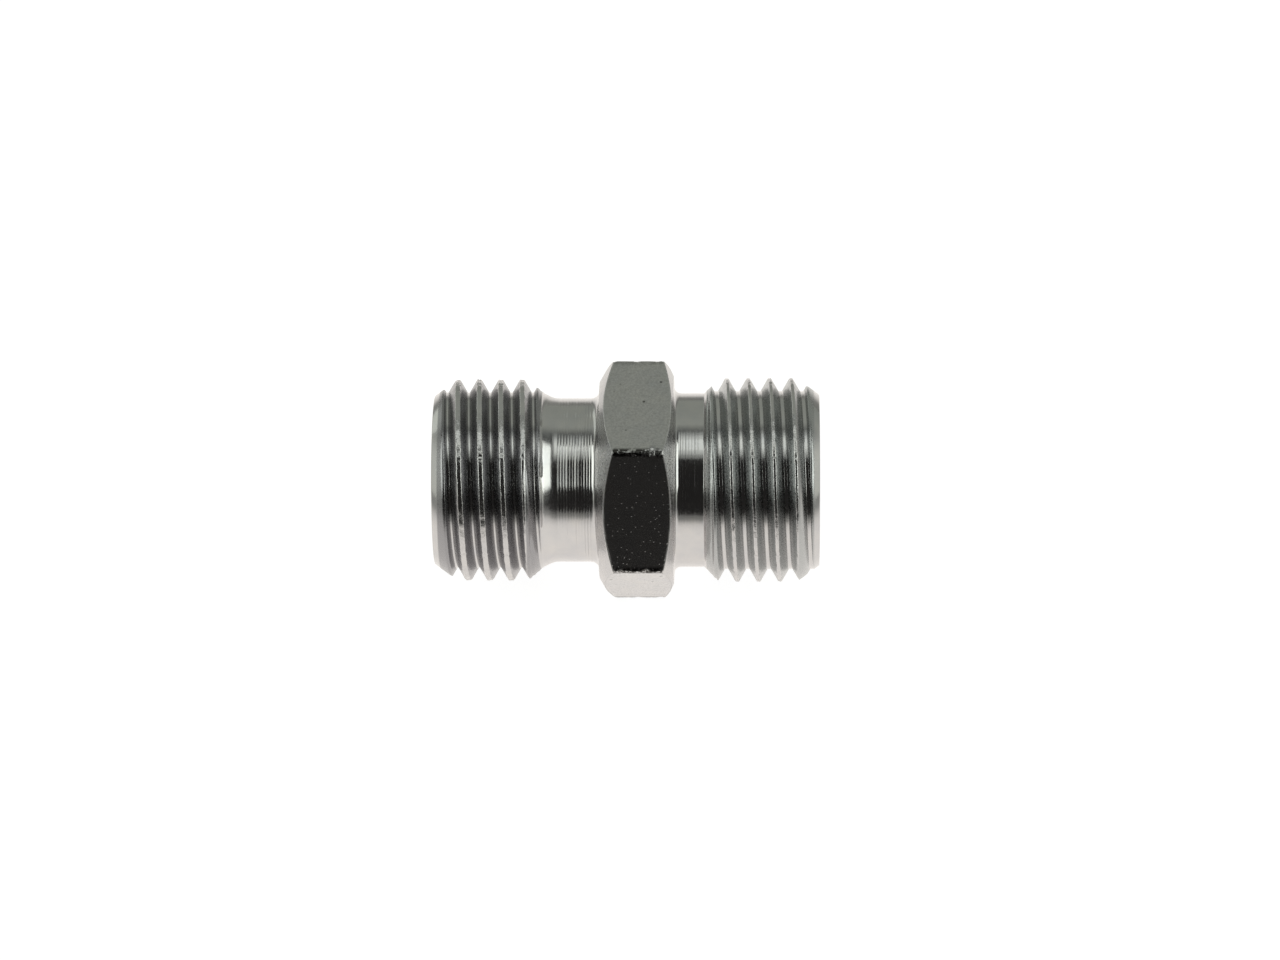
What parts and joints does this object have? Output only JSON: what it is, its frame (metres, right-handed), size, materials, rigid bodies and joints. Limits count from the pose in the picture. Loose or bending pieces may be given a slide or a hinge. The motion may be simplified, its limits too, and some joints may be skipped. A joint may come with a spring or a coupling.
{
  "type": "hex nipple",
  "caption": "Steel pipe nipple that joins two female fittings: a hexagon for the wrench, a straight outside thread and turned neck on each side, and a through bore with cone seats.",
  "frame": {"origin": "on the bore's axis, half way along the overall length", "axes": "+X along the bore towards the end with the shorter neck, +Z out of the hexagon's top flat, which is parallel to the flat that the nipple lies on"},
  "size_m": [0.0254, 0.0164, 0.0142],
  "materials": {
    "zinc_plated_steel": "bright zinc plating over turned and cold-drawn steel"
  },
  "bodies": {
    "root": {"nipple_body": "zinc_plated_steel"}
  },
  "joints": []
}
